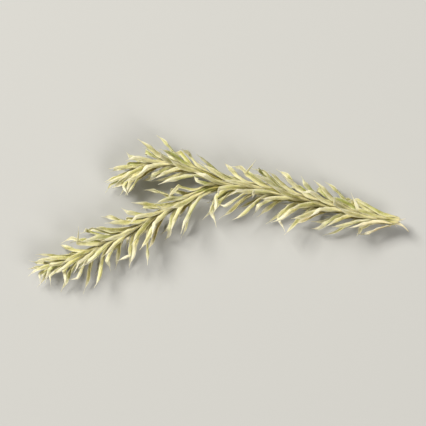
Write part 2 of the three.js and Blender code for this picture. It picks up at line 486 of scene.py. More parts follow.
@dataclass(frozen=True)
class StemFinish:
    """Dried stem: furrowed, straw on its ridges, with olive brown painted shade in the furrows between
    them and olive brown fibres.

    A rise is the share in which a colour is laid on, or the roughness. A stretch is how fast a
    pattern runs along the stem and round it.
    """

    ridge: str = "B5AB62"
    # olive brown, for the painted shade in the furrows and for the fibres
    furrow: str = "4C471B"
    torn: str = "E6DCAE"
    green: str = "A9AC62"
    greener: Rise = Rise(0.4, 0.7)
    # painted shade laid into the furrows
    furrowed: Rise = Rise(0.6, 0.1, high=0.75)
    fibrous: Rise = Rise(0.42, 0.68, high=0.6)
    torn_end: Rise = Rise(1.6, 0.3, high=0.7)
    roughness: Rise = Rise(0.3, 0.7, 0.62, 0.85)
    fibre_stretch: Range = (0.35, 2.4)
    patch_stretch: Range = (1.0, 1.0)
    fibre_grain: Grain = Grain(5.0, 4.0, 0.62)
    patch_grain: Grain = Grain(0.6, 2.0)
    relief: float = 0.05
    relief_strength: float = 0.9

    def material(self) -> bpy.types.Material:
        """Lays out the finish.

        Returns:
            The material.
        """
        s = Shader("dried_stem")
        along, around_it = s.value("along"), s.value("around")
        fibres = s.noise(s.place((along, around_it), self.fibre_stretch), self.fibre_grain)
        patches = s.noise(s.place((along, around_it), self.patch_stretch), self.patch_grain)
        colour = s.mix(srgb(self.ridge), self.green, s.rise(patches, self.greener))
        # painted shade: olive brown laid into the furrows
        colour = s.mix(colour, self.furrow, s.rise(s.value("rise"), self.furrowed))
        colour = s.mix(colour, self.furrow, s.rise(fibres, self.fibrous))
        colour = s.mix(colour, self.torn, s.rise(along, self.torn_end))
        s.link("Base Color", colour)
        s.link("Roughness", s.rise(fibres, self.roughness))
        s.bump(fibres, self.relief, self.relief_strength)
        s.set(Specular_IOR_Level=0.3)
        s.set(Subsurface_Weight=0.12, Subsurface_Scale=0.0004, Subsurface_Radius=(1.0, 0.75, 0.35))
        return s.material


@dataclass(frozen=True)
class PithFinish:
    """The cut face and its torn strands: pale pith, a darker ring of strands and a thin rind.

    ring_from, ring_until and rind_from go by how far out from the middle a point lies, as a share of
    the way to the rim. The other rises go by the flecks of the grain.
    """

    pith: str = "F0E6C2"
    ring: str = "A88B4E"
    rind: str = "8C7A3E"
    ring_from: Rise = Rise(0.34, 0.46)
    ring_until: Rise = Rise(0.52, 0.64)
    rind_from: Rise = Rise(0.84, 0.95)
    flecked: Rise = Rise(0.45, 0.7, high=0.4)
    wavering: Rise = Rise(0.3, 0.7, -0.06, 0.06)
    roughness: Rise = Rise(0.3, 0.7, 0.75, 0.92)
    stretch: Range = (1.0, 1.0)
    grain: Grain = Grain(11.0, 4.0, 0.65)
    relief: float = 0.06
    relief_strength: float = 0.9

    def material(self) -> bpy.types.Material:
        """Lays out the finish.

        Returns:
            The material.
        """
        s = Shader("cut_pith")
        flecks = s.noise(s.place((s.value("east"), s.value("north")), self.stretch), self.grain)
        far = s.maths("ADD", s.value("far"), s.rise(flecks, self.wavering))
        colour = s.mix(srgb(self.pith), self.ring, s.rise(far, self.ring_from))
        colour = s.mix(colour, self.pith, s.rise(far, self.ring_until))
        colour = s.mix(colour, self.rind, s.rise(far, self.rind_from))
        colour = s.mix(colour, self.ring, s.rise(flecks, self.flecked))
        s.link("Base Color", colour)
        s.link("Roughness", s.rise(flecks, self.roughness))
        s.bump(flecks, self.relief, self.relief_strength)
        s.set(Specular_IOR_Level=0.25)
        return s.material


@dataclass(frozen=True)
class FloorFinish:
    """The plain pale floor."""

    pale: str = "B8B9B9"

    def material(self) -> bpy.types.Material:
        """Lays out the finish.

        Returns:
            The material.
        """
        s = Shader("pale_floor")
        s.set(Base_Color=srgb(self.pale), Roughness=0.9, Specular_IOR_Level=0.2)
        return s.material


@dataclass(frozen=True)
class StemShape:
    """One stem of the sprig, as in its solids.

    line has the points that steer its middle line, and radii are at its two ends. first_leaf is how
    far along it the first leaf stands. lee is the share of their opening that the leaves on its far
    side keep.
    """

    node: Node
    line: tuple[Place, Place, Place, Place]
    radii: Range
    lee: float
    first_leaf: float
    is_branch: bool
    seed: int = 12


FORK = (0.9, 2.97, 2.2)
STEMS = (
    StemShape(
        Node.MAIN,
        ((19.2, -0.93, 1.6), (12.4, 0.17, 1.9), (7.2, 2.37, 2.3), FORK),
        radii=(0.62, 0.56),
        lee=0.6,
        first_leaf=1.1,
        is_branch=False,
    ),
    StemShape(
        Node.LONG,
        (FORK, (-3.2, 1.77, 2.1), (-10.4, -3.83, 2.0), (-16.6, -5.43, 1.4)),
        radii=(0.52, 0.3),
        lee=0.8,
        first_leaf=0.4,
        is_branch=True,
    ),
    StemShape(
        Node.SHORT,
        (FORK, (-2.3, 4.97, 2.4), (-6.3, 6.17, 2.6), (-8.9, 3.57, 1.7)),
        radii=(0.5, 0.3),
        lee=0.62,
        first_leaf=0.4,
        is_branch=True,
    ),
)

# the solids' stub of each branch, which belongs to the main stem, and the gap beyond it
STUB_LENGTH = 1.3
GAP = 0.3


@dataclass(frozen=True)
class Cut:
    """The slanting cut at the end of the main stem, as in its solids.

    distance is how far along the stem's line its middle lies, lean is how far the cut leans over, and
    side is the angle round the stem at which it reaches furthest along it.
    """

    distance: float = 0.7
    lean: float = math.radians(38)
    side: float = math.radians(-50)

    def start(self, radius: float, angle: Array | float) -> Array | float:
        """Returns how far along the main stem its surface begins, at angles round it."""
        return self.distance + radius * math.tan(self.lean) * np.cos(angle - self.side)


CUT = Cut()


@dataclass
class StemLine:
    """A stem's middle line, measured, with its directions and its radius at any distance along it."""

    shape: StemShape
    pieces: int = 200
    nudge: float = 1e-4
    control: Array = field(init=False)
    shares: Array = field(init=False)
    run: Array = field(init=False)

    def __post_init__(self) -> None:
        """Measures the line."""
        self.control = np.array(self.shape.line, float)
        self.shares = np.linspace(0.0, 1.0, self.pieces + 1)
        self.run = travelled(self.curve(self.shares))

    @property
    def length(self) -> float:
        """The length of the line."""
        return float(self.run[-1])

    def curve(self, t: Array) -> Array:
        """Returns the points of the curve at shares of its own parameter.

        Args:
            t: The shares, from 0 to 1.

        Returns:
            A row of points.
        """
        t = np.atleast_1d(t)[:, None]
        weights = ((1 - t) ** 3, 3 * t * (1 - t) ** 2, 3 * t**2 * (1 - t), t**3)
        return sum(weight * point for weight, point in zip(weights, self.control))

    def at(self, distance: float) -> tuple[Array, Array, Array, Array]:
        """Reads the line at a distance.

        Args:
            distance: How far along the line.

        Returns:
            The point, and the directions along, to the side and up.
        """
        t = float(np.interp(np.clip(distance, 0.0, self.length), self.run, self.shares))
        around_t = np.clip([t - self.nudge, t, t + self.nudge], 0.0, 1.0)
        before, point, after = self.curve(around_t)
        along = unit(after - before)
        side = unit(np.cross(UP, along))
        return point, along, side, np.cross(along, side)

    def radius(self, distance: float) -> float:
        """Returns the stem's radius at a distance."""
        return float(between(*self.shape.radii, distance / self.length))

    def draw(self, number: int, trait: Trait) -> float:
        """Draws a number, which depends only on the stem's seed and what it is drawn for.

        Args:
            number: Which leaf or strand it is drawn for.
            trait: What it settles.

        Returns:
            The number, from 0 to 1.
        """
        by_number, by_trait, spread = DRAW_FACTORS
        wave = math.sin(self.shape.seed + number * by_number + trait.value * by_trait) * spread
        return wave - math.floor(wave)

    def places(self, start: float, end: float, step: float) -> Array:
        """Returns even distances from start to end, no more than a step apart."""
        return np.linspace(start, end, math.ceil((end - start) / step) + 1)

    def room(self, start: float, end: float, step: float) -> Array:
        """Returns the points of a stretch of the stem, each with its radius."""
        return np.array([[*self.at(d)[0], self.radius(d)] for d in self.places(start, end, step)])


@dataclass(frozen=True)
class Attempt:
    """How a leaf tries to stand clear: a turn round its stem, and shares of its opening and length."""

    turn: float
    opening: float
    length: float


ATTEMPTS = (
    Attempt(0.0, 1.0, 1.0),
    Attempt(0.0, 0.75, 1.0),
    Attempt(0.25, 0.9, 1.0),
    Attempt(-0.25, 0.9, 1.0),
    Attempt(0.0, 1.25, 0.9),
    Attempt(0.45, 0.75, 0.9),
    Attempt(-0.45, 0.75, 0.9),
    Attempt(0.0, 0.5, 0.8),
    Attempt(0.4, 1.1, 0.7),
    Attempt(-0.4, 1.1, 0.7),
)


@dataclass(frozen=True)
class Easing:
    """How a dried blade gives way to its neighbours: turns aside and outwards about its foot."""

    aside: float = 0.0
    outwards: float = 0.0


EASINGS = (
    Easing(aside=0.08),
    Easing(aside=-0.08),
    Easing(outwards=0.08),
    Easing(outwards=-0.08),
    Easing(aside=0.16),
    Easing(aside=-0.16),
    Easing(outwards=0.16),
    Easing(outwards=-0.16),
    Easing(aside=0.12, outwards=0.12),
    Easing(aside=-0.12, outwards=0.12),
)


@dataclass(frozen=True)
class Shell:
    """The surface of a blade beyond its foot, and the corners of the box round it."""

    tree: BVHTree
    low: Array
    high: Array

    def crossings(self, others: Sequence["Shell"]) -> int:
        """Counts the pairs of faces where it passes through other blades.

        Args:
            others: Their shells.

        Returns:
            The count.
        """
        near = [other for other in others if self.is_near(other)]
        return sum(len(self.tree.overlap(other.tree)) for other in near)

    def is_near(self, other: "Shell") -> bool:
        """Tells whether the boxes round two blades overlap."""
        return bool(np.all(self.low < other.high) and np.all(other.low < self.high))


@dataclass(frozen=True)
class Growth:
    """How leaves stand on their stems, as in the solids.

    opening_above is the share of their opening that leaves above and below the stem keep. tip_opening,
    tip_length and tip_step are the shares of the opening, the length and the step that are left at a
    branch's tip, and tip_reach is how far from it they start to fall. base_depth is how deep a leaf's
    base lies, in stem radii.

    A leaf's room takes one in every so many of its points, with a radius that falls from room_base to
    room_tip. It stays room_apart from the stems and leaves of the other solids. Within its own solid,
    its first shared_points may lie in the rooms of other leaves.

    Each leaf draws its own value from the five ranges: a turn, shares of the opening and the length,
    and how far it curls aside and bends.
    """

    length: float = 4.3
    step: float = 0.235
    turn: float = math.radians(137.508)
    rib: float = 1.4
    least_rib: float = 0.3
    opening: float = math.radians(56)
    opening_start: float = 0.24
    opening_above: float = 0.72
    base_depth: float = 0.15
    pieces: int = 16
    tip_reach: float = 5.0
    tip_opening: float = 0.3
    tip_length: float = 0.6
    tip_step: float = 0.7
    room_base: float = 0.29
    room_tip: float = 0.06
    room_apart: float = 0.14
    shared_points: int = 2
    every: int = 2
    stem_step: float = 0.35
    turned_by: Range = (-0.2, 0.2)
    opening_share: Range = (0.8, 1.15)
    length_share: Range = (0.8, 1.1)
    curl: Range = (-0.45, 0.45)
    bend: Range = (0.32, 0.7)


@dataclass(frozen=True)
class BladeForm:
    """The visible blade: thin, folded and wrinkled, with a vein, on a rib that runs down the stem.

    half_width and thickness are measured from its middle. end is where along it the body closes, and
    taper and roundness shape the outline up to there. stations are places across one face, from one
    margin to the other, in half widths.

    ripple widens and narrows the blade, wrinkle lines it lengthways, wave lifts one margin and lowers
    the other, and flutter twists it. Each is a strength, and ripples, wrinkles, waves and flutters are
    how often it comes back. wander and wander_reach are how fast and how far the wrinkles drift.
    settled, twisted and waved are the stretches of the blade over which a form comes in, flattened is
    the one over which the fold opens to end_fold of itself, and lie_place is where its lie is measured.

    rib_level is how far from the stem's middle line the rib starts and ends, in stem radii, and
    rib_rise the shares of its length between which it rises. raised is the share of the base's depth by
    which the visible foot is lifted. clear_from is the share of its length from which a blade is kept
    clear of the others.

    Each leaf draws its own value from width, fold, wander, waves, lie and lie_off. lie is how much of
    the turn that would lay it flat it makes, and lie_off is a further turn.
    """

    half_width: float = 0.25
    width: Range = (0.86, 1.08)
    tip_width: float = 0.75
    foot_width: Range = (0.95, 1.02)
    end: float = 0.95
    taper: float = 5.5
    roundness: float = 0.9
    thickness: float = 0.045
    end_thickness: float = 0.5
    stations: tuple[float, ...] = (1.0, 0.93, 0.66, 0.38, 0.14, -0.14, -0.38, -0.66, -0.93)
    rings: int = 34
    settled: Range = (0.0, 0.2)
    ripple: float = 0.05
    ripples: float = 3.3
    vein: float = 0.035
    vein_reach: float = 0.24
    vein_above: float = 0.45
    fold: Range = (0.35, 0.95)
    fold_curve: float = 1.5
    flattened: Range = (0.3, 1.0)
    end_fold: float = 0.55
    wrinkle: float = 0.024
    wrinkles: float = 0.95
    wander: Range = (3.0, 6.0)
    wander_reach: float = 0.3
    wave: float = 0.16
    waves: Range = (1.5, 3.5)
    waved: Range = (0.05, 0.3)
    flutter: float = 0.22
    flutters: float = 1.4
    lie: Range = (0.45, 1.0)
    lie_off: Range = (-0.4, 0.4)
    lie_place: float = 0.45
    twisted: Range = (0.02, 0.8)
    rib_rings: int = 7
    rib_points: int = 4
    rib_level: Range = (0.5, 0.96)
    rib_rise: Range = (-0.1, 0.7)
    rib_width: Range = (0.15, 0.95)
    cut_margin: float = 0.05
    raised: float = 0.6
    clear_from: float = 0.04


@dataclass(frozen=True)
class HairForm:
    """The hair that a leaf ends in. It drifts aside and outwards, by so much for each of its lengths.

    steps are where along it its points lie. Over the stretch that thinned gives, in shares of the
    blade, its radius falls to end_share of itself.
    """

    rings: int = 7
    steps: tuple[float, ...] = (0.33, 0.67, 1.0)
    radius: float = 0.034
    end_share: float = 0.25
    thinned: Range = (0.9, 1.15)
    length: Range = (0.1, 0.55)
    aside: Range = (-0.5, 0.5)
    outwards: Range = (-0.3, 0.6)


@dataclass(frozen=True)
class Drying:
    """What drying did to the leaves.

    hooked and bent_aside are the shares of leaves with those habits, and spared is how much rarer
    both are among the leaves held in at the cut. A kink is at a point of the line, its knee, and
    turns the rest by swing. near_share is the share of kinks that turn towards the sprig's near side.
    A leaf that a hook would bring closer to its stem than clear is bent aside instead.

    held is the share of their opening that the held leaves lost. held_until is how far along the stem
    the last leaf stands that is held in full, and the last that is held at all. A tip bleaches from
    bleach_start to bleach_end, and by kinked_bleach sooner on a kinked leaf. Leaves on their stem's far
    side get painted shade: greener turns them greener and far_side_shade makes their tips bleach less.
    rosier is for held ones.
    """

    hooked: float = 0.34
    bent_aside: float = 0.22
    spared: float = 0.4
    knee: Range = (4.0, 6.99)
    swing: Range = (0.45, 1.35)
    near_share: float = 0.82
    clear: float = 0.35
    held: float = 0.36
    held_until: Range = (1.0, 6.0)
    tone: Range = (0.125, 0.875)
    # turns leaves on their stem's far side greener: painted shade
    greener: float = 0.6
    rosier: float = 0.25
    bleach_start: Range = (0.4, 0.7)
    bleach_end: float = 0.98
    kinked_bleach: float = 0.18
    # makes the tips of leaves on their stem's far side bleach less: painted shade
    far_side_shade: float = 1.2


@dataclass(frozen=True)
class Course:
    """A leaf's visible line, ring by ring.

    along runs from 0 at the blade's foot to 1 where its hair starts.
    """

    centres: Array
    ways: Array
    along: Array
    rib: float
    blade: float
    narrowed: float = 0.85

    @property
    def bladed(self) -> Array:
        """1 along the blade, falling to 0 from where it is narrowed to where the hair starts."""
        return eased(self.along, 1.0, self.narrowed)

    def wave(self, turns: float, start: float) -> Array:
        """Returns a wave with so many turns to a blade."""
        return np.sin(TAU * (self.along * turns + start))


@dataclass
class Leaf:
    """One leaf: its place on its stem, its line as in the solids, and its own dried form.

    full is 1 where leaves are full grown and falls to 0 at a branch's tip. rib is how far its base
    runs down the stem in the solids, where it stops short of the gap at the fork.
    """

    stem: StemLine
    number: int
    distance: float
    full: float
    rib: float
    growth: Growth
    form: BladeForm = BladeForm()
    hair: HairForm = HairForm()
    drying: Drying = Drying()
    easing: Easing = Easing()
    angle: float = field(init=False)
    out: Array = field(init=False)
    aside: Array = field(init=False)
    points: Array = field(init=False)

    def draw(self, trait: Trait, low: float = 0.0, high: float = 1.0) -> float:
        """Returns a number from low to high that depends only on the leaf and the trait."""
        return float(between(low, high, self.stem.draw(self.number, trait)))

    @property
    def node(self) -> Node | None:
        """The solid that the leaf belongs to.

        Returns:
            The solid, or None where no leaf stands over the gap at the fork.
        """
        if not self.stem.shape.is_branch or self.distance < STUB_LENGTH:
            return Node.MAIN
        return self.stem.shape.node if self.rib > self.growth.least_rib else None

    @property
    def opening(self) -> float:
        """The angle at which the leaf opens from its stem, before it tries to stand clear."""
        grown = between(self.growth.tip_opening, 1.0, self.full)
        return self.growth.opening * grown * self.draw(Trait.OPENING, *self.growth.opening_share)

    @property
    def room(self) -> Array:
        """The room that the leaf takes.

        Returns:
            Points along it, each with a radius.
        """
        kept = self.points[:: self.growth.every]
        radii = between(self.growth.room_base, self.growth.room_tip, np.linspace(0.0, 1.0, len(kept)))
        return np.column_stack([kept, radii])

    @property
    def sheltered(self) -> float:
        """The share of its opening that a leaf on its stem's far side lost, and 0 on the near side."""
        return (1.0 - self.stem.shape.lee) * max(0.0, float(self.out[1]))

    @property
    def held(self) -> float:
        """1 beside the cut, where the leaves were held against the stem, falling to 0 further up it."""
        full, none = self.drying.held_until
        return 0.0 if self.stem.shape.is_branch else float(eased(self.distance, none, full))

    @property
    def habit(self) -> Habit:
        """What drying did to the outer part of this leaf.

        Returns:
            Its habit.
        """
        drying = self.drying
        chance = self.draw(Trait.HABIT) + drying.spared * self.held
        if chance < drying.hooked:
            return Habit.HOOKED
        return Habit.BENT_ASIDE if chance < drying.hooked + drying.bent_aside else Habit.BOWED

    def grow(self, attempt: Attempt) -> None:
        """Lays out the leaf's line, which leaves the stem low, opens, and bends in again.

        Args:
            attempt: How the leaf is turned, opened and shortened.
        """
        growth = self.growth
        point, along, side, up = self.stem.at(self.distance)
        self.angle = self.number * growth.turn + self.draw(Trait.TURN, *growth.turned_by) + attempt.turn
        self.out = around(side, up, self.angle)
        self.aside = np.cross(along, self.out)
        opening = self.opening * attempt.opening * (1.0 - self.sheltered)
        opening *= between(1.0, growth.opening_above, abs(math.sin(self.angle)))
        length = growth.length * between(growth.tip_length, 1.0, self.full)
        length *= self.draw(Trait.LENGTH, *growth.length_share) * attempt.length
        share = (np.arange(growth.pieces)[:, None] + 0.5) / growth.pieces
        bend = growth.opening_start + share * self.draw(Trait.BEND, *growth.bend)
        open_by = opening * np.sin(math.pi * bend)
        curl = self.aside * self.draw(Trait.CURL, *growth.curl) * share
        ways = unit(around(along, self.out, open_by) + curl)
        start = point + self.out * self.stem.radius(self.distance) * (1.0 - growth.base_depth)
        self.points = np.vstack([start, start + np.cumsum(ways * length / growth.pieces, axis=0)])
        self.points[:, 2] = np.maximum(self.points[:, 2], 0.0)

    def foot(self) -> tuple[Array, float]:
        """Lays out the rib that runs down the stem below the leaf, as far as the cut allows.

        Returns:
            Its points, lowest first, and its length.
        """
        form, start = self.form, self.distance - self.growth.rib
        if not self.stem.shape.is_branch:
            start = max(start, float(CUT.start(self.stem.radius(0.0), self.angle)) + form.cut_margin)
        points = []
        for share in np.linspace(0.0, 1.0, form.rib_points, endpoint=False):
            distance = float(between(start, self.distance, share))
            point, _, side, up = self.stem.at(distance)
            level = between(*form.rib_level, eased(share, *form.rib_rise))
            points.append(point + around(side, up, self.angle) * self.stem.radius(distance) * level)
        return np.array(points), self.distance - start

    def dried(self) -> Array:
        """Lays out the blade's line: the leaf's own, held in near the cut, eased and kinked.

        Returns:
            Its points.
        """
        line = self.points[:: self.growth.every].copy()
        line[0] += self.out * self.stem.radius(self.distance) * self.growth.base_depth * self.form.raised
        outwards = self.easing.outwards - self.opening * self.drying.held * self.held
        line = line[0] + turned(line - line[0], self.aside, outwards)
        line = line[0] + turned(line - line[0], self.out, self.easing.aside)
        return line if self.habit is Habit.BOWED else self.kinked(line)

    def kinked(self, line: Array) -> Array:
        """Turns the outer part of a blade at a sharp kink.

        Args:
            line: The points of its line.

        Returns:
            The points of the kinked line, with the kink's own point twice.
        """
        knee = int(self.draw(Trait.KNEE, *self.drying.knee))
        way = unit(line[knee] - line[knee - 1])
        across = unit(self.aside - way * np.dot(self.aside, way))
        outer = self.swung(line[knee:], way, across)
        if self.habit is Habit.BENT_ASIDE or self.clearance(outer) < self.drying.clear:
            outer = self.swung(line[knee:], way, np.cross(way, across))
        return np.vstack([line[: knee + 1], line[knee], outer])

    def swung(self, outer: Array, way: Array, axis: Array) -> Array:
        """Turns the outer part of a blade, mostly towards the sprig's near side.

        Args:
            outer: Its points, the kink first.
            way: The blade's direction at the kink.
            axis: What it turns about.

        Returns:
            The turned points, without the kink.
        """
        swing = self.draw(Trait.SWING, *self.drying.swing)
        turns_near = turned(way, axis, swing)[1] < turned(way, axis, -swing)[1]
        if turns_near != (self.draw(Trait.NEAR_SIDE) < self.drying.near_share):
            swing = -swing
        return outer[0] + turned(outer[1:] - outer[0], axis, swing)

    def clearance(self, points: Array) -> float:
        """Measures how clear of the stem some points stay.

        Args:
            points: The points.

        Returns:
            The smallest distance of any of them from the stem's surface.
        """
        ahead = min(self.distance + 2.0 * self.growth.length, self.stem.length)
        stem = self.stem.room(self.distance, ahead, self.growth.stem_step)
        gaps = np.linalg.norm(points[:, None] - stem[None, :, :3], axis=2) - stem[None, :, 3]
        return float(gaps.min())

    def course(self) -> Course:
        """Lays out the leaf's visible line: rib, blade and hair, smooth from end to end.

        Returns:
            The line, ring by ring.
        """
        form, hair = self.form, self.hair
        foot, rib = self.foot()
        blade = self.dried()
        thread = self.draw(Trait.HAIR_LENGTH, *hair.length)
        way = unit(blade[-1] - blade[-2])
        drift = self.aside * self.draw(Trait.HAIR_ASIDE, *hair.aside)
        drift = drift + self.out * self.draw(Trait.HAIR_OUT, *hair.outwards)
        threads = [blade[-1] + thread * (way * t + drift * 0.5 * t * t) for t in hair.steps]
        line = flowing(np.vstack([foot, blade, threads]))
        line[:, 2] = np.maximum(line[:, 2], 0.0)
        bladed = float(travelled(line)[-1]) - rib - thread
        at_rib = np.linspace(0.0, rib, form.rib_rings, endpoint=False)
        at_blade = rib + np.linspace(0.0, bladed, form.rings, endpoint=False)
        at_hair = rib + bladed + np.linspace(0.0, thread, hair.rings)
        places = np.concatenate([at_rib, at_blade, at_hair])
        centres = spaced(line, places)
        ways = unit(np.gradient(centres, axis=0))
        return Course(centres, ways, ((places - rib) / bladed)[:, None], rib, bladed)

    def across(self, course: Course) -> Array:
        """Lays out the direction across the leaf, which twists towards lying flat and flutters.

        Args:
            course: The leaf's line.

        Returns:
            The direction at each ring.
        """
        form, along = self.form, course.along
        across = carried(self.aside, course.ways)
        half_way = int(np.argmin(np.abs(along.ravel() - form.lie_place)))
        twist = self.lie(course.ways[half_way], across[half_way]) * self.draw(Trait.LIE, *form.lie)
        twist += self.draw(Trait.LIE_OFF, *form.lie_off)
        flutter = form.flutter * course.wave(form.flutters, self.draw(Trait.FLUTTER_START))
        angles = twist * eased(along, *form.twisted) + flutter * eased(along, *form.settled)
        return turned(across, course.ways, angles)

    @staticmethod
    def lie(way: Array, across: Array) -> float:
        """Measures the turn that would lay a leaf flat.

        Args:
            way: The leaf's own direction.
            across: The direction across it.

        Returns:
            The angle in radians, a quarter turn at most.
        """
        level = unit(np.cross(way, UP))
        if np.dot(level, across) < 0.0:
            level = -level
        return math.atan2(np.dot(np.cross(across, level), way), np.dot(across, level))

    def widths(self, course: Course) -> Array:
        """Lays out half the leaf's width: narrow on its rib, even along its blade, fine on its hair.

        Args:
            course: The leaf's line.

        Returns:
            Half the width at each ring.
        """
        form, hair, along = self.form, self.hair, course.along
        body = (1.0 - np.clip(along / form.end, 0.0, 1.0) ** form.taper) ** form.roundness
        body = body * (1.0 + form.ripple * course.wave(form.ripples, self.draw(Trait.RIPPLE_START)))
        body = body * between(*form.foot_width, eased(along, *form.settled))
        body = body * self.draw(Trait.WIDTH, *form.width)
        rib = between(*form.rib_width, eased(along * course.blade, -course.rib, 0.0))
        body = np.where(along < 0.0, rib, body)
        thread = hair.radius * between(1.0, hair.end_share, eased(along, *hair.thinned))
        return np.maximum(form.half_width * body * between(form.tip_width, 1.0, self.full), thread)

    def lift(self, course: Course, width: Array, x: Array) -> Array:
        """Lays out how far each point stands off the leaf's middle surface.

        Args:
            course: The leaf's line.
            width: Half the leaf's width at each ring.
            x: Places across it, in half widths: along its upper face, then back along its lower one.

        Returns:
            The lift, as (ring, place).
        """
        form, along, bladed = self.form, course.along, course.bladed
        upper = (np.arange(x.size) < len(form.stations))[None]
        thick = form.thickness * between(1.0, form.end_thickness, eased(along, 0.0, 1.0))
        thick = np.minimum(thick, width)
        body = np.where(upper, thick, -thick) * np.sqrt(1.0 - x * x)
        vein = form.vein * np.exp(-((x / form.vein_reach) ** 2)) * bladed
        vein = vein * np.where(upper, form.vein_above, 1.0)
        wander = form.wander_reach * np.sin(along * self.draw(Trait.WRINKLE_WANDER, *form.wander))
        wrinkle = np.cos(TAU * (form.wrinkles * x + wander + self.draw(Trait.WRINKLE_START)))
        wrinkle = form.wrinkle * wrinkle * eased(along, *form.settled) * bladed
        fold = self.draw(Trait.FOLD, *form.fold) * bladed * np.abs(x) ** form.fold_curve
        fold = fold * between(1.0, form.end_fold, eased(along, *form.flattened))
        wave = course.wave(self.draw(Trait.WAVES, *form.waves), self.draw(Trait.WAVE_START))
        wave = form.wave * wave * eased(along, *form.waved) * bladed
        return body - vein + wrinkle + width * (fold + wave * x)

    @property
    def stations(self) -> Array:
        """Places across the leaf, in half widths: over its upper face, then back under its lower one."""
        return np.concatenate([self.form.stations, -np.array(self.form.stations)])[None]

    def surface(self, course: Course) -> Array:
        """Lays out the leaf's surface. Where it would reach below the floor, it is raised to lie on it.

        Args:
            course: The leaf's line.

        Returns:
            Its points as (ring, place, axis).
        """
        across = self.across(course)
        ridge = np.cross(course.ways, across)
        width = self.widths(course)
        lift = self.lift(course, width, self.stations)
        rings = course.centres[:, None] + across[:, None] * (width * self.stations)[..., None]
        rings = rings + ridge[:, None] * lift[..., None]
        rings[..., 2] += np.maximum(0.0, -rings[..., 2].min(axis=1, keepdims=True))
        return rings

    def shell(self) -> Shell:
        """Lays out the surface of the blade beyond its foot, which is kept clear of the others.

        Returns:
            The shell.
        """
        course = self.course()
        rings = self.surface(course)[course.along.ravel() > self.form.clear_from]
        points = rings.reshape(-1, 3)
        tree = BVHTree.FromPolygons(points.tolist(), wrapped(*rings.shape[:2]).tolist())
        return Shell(tree, points.min(axis=0), points.max(axis=0))

    def add_to(self, skin: Skin) -> None:
        """Builds the leaf's surface.

        Args:
            skin: The mesh that it becomes part of.
        """
        drying, course = self.drying, self.course()
        tone = np.full((1, 1), self.draw(Trait.TONE, *drying.tone))
        # painted shade: leaves on their stem's far side turn greener; held leaves turn rosier
        tone += drying.greener * self.sheltered - drying.rosier * self.held
        sooner = 0.0 if self.habit is Habit.BOWED else drying.kinked_bleach
        start = self.draw(Trait.BLEACH, *drying.bleach_start) - sooner
        bleach = eased(course.along, start, drying.bleach_end - sooner)
        # painted shade: the tips of leaves on their stem's far side bleach less
        bleach = bleach * (1.0 - drying.far_side_shade * self.sheltered)
        values = {"along": course.along, "across": self.stations, "tone": tone, "bleach": bleach}
        skin.add_tube(self.surface(course), values)


